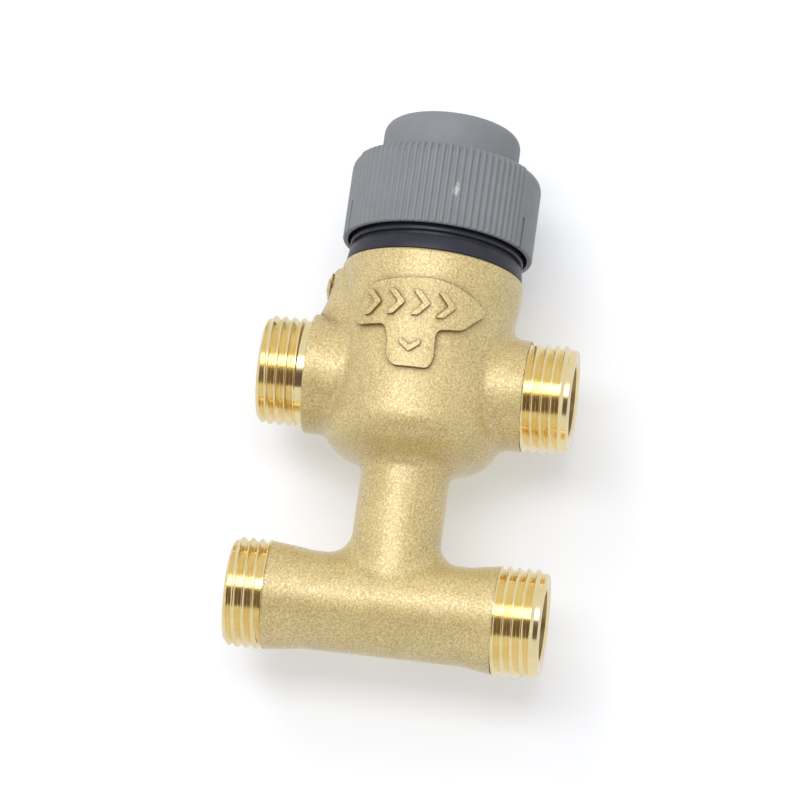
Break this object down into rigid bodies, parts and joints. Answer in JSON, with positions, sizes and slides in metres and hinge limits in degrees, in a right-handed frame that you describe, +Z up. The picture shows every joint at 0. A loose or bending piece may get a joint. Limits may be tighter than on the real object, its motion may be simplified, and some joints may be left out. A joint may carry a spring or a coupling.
{
  "type": "bypass valve",
  "caption": "Brass bypass valve with male-threaded ports, a straight lower bypass run on a short neck, and a ribbed grey cap over a black collar that screws down to press the sprung stem.",
  "frame": {"origin": "centre of the straight bypass run, where its axis meets the stem's axis", "axes": "+X along the bypass run towards the outlet side, +Z up along the stem towards the hand cap, -Y towards the front of the barrel, which carries the flow sign"},
  "size_m": [0.06, 0.0368, 0.1067],
  "materials": {
    "cast_brass": "sand-cast, matte, fine grain",
    "turned_brass": "turned, bright",
    "black_plastic": "moulded, satin",
    "grey_plastic": "moulded, matte",
    "white_plastic": "turned, matte",
    "seal_rubber": "moulded, matte",
    "steel": "drawn, satin"
  },
  "bodies": {
    "valve": {"valve_body": "cast_brass", "seat_cage": "turned_brass", "cage_seal": "seal_rubber", "bonnet": "turned_brass", "bonnet_seal": "seal_rubber", "neck_collar": "black_plastic", "gland_nut": "turned_brass", "upper_stem_seal": "seal_rubber", "packing_spacer": "white_plastic", "lower_stem_seal": "seal_rubber", "guide_bush": "white_plastic", "spring_washer": "steel", "return_spring": "steel"},
    "stem": {"stem": "steel", "spring_cup": "steel", "retaining_clip": "steel", "plug": "turned_brass", "plug_upper_seal": "seal_rubber", "plug_lower_seal": "seal_rubber", "plug_washer": "steel", "plug_nut": "steel"},
    "cap": {"hand_cap": "grey_plastic"}
  },
  "joints": [
    {"name": "stem_travel", "type": "slide", "parent": "valve", "child": "stem", "axis": [0, 0, 1], "range_m": [-0.0045, 0], "stiffness_N_per_m": 3000, "springref_m": 0.008, "deforming": ["return_spring"]},
    {"name": "cap_turn", "type": "hinge", "parent": "stem", "child": "cap", "pos_m": [0, 0, 0.0838], "axis": [0, 0, 1], "range_deg": [-1080, 0]}
  ],
  "couplings": [
    {"joint": "cap_turn", "follows": "stem_travel", "rad_per_m": 4188.8}
  ]
}
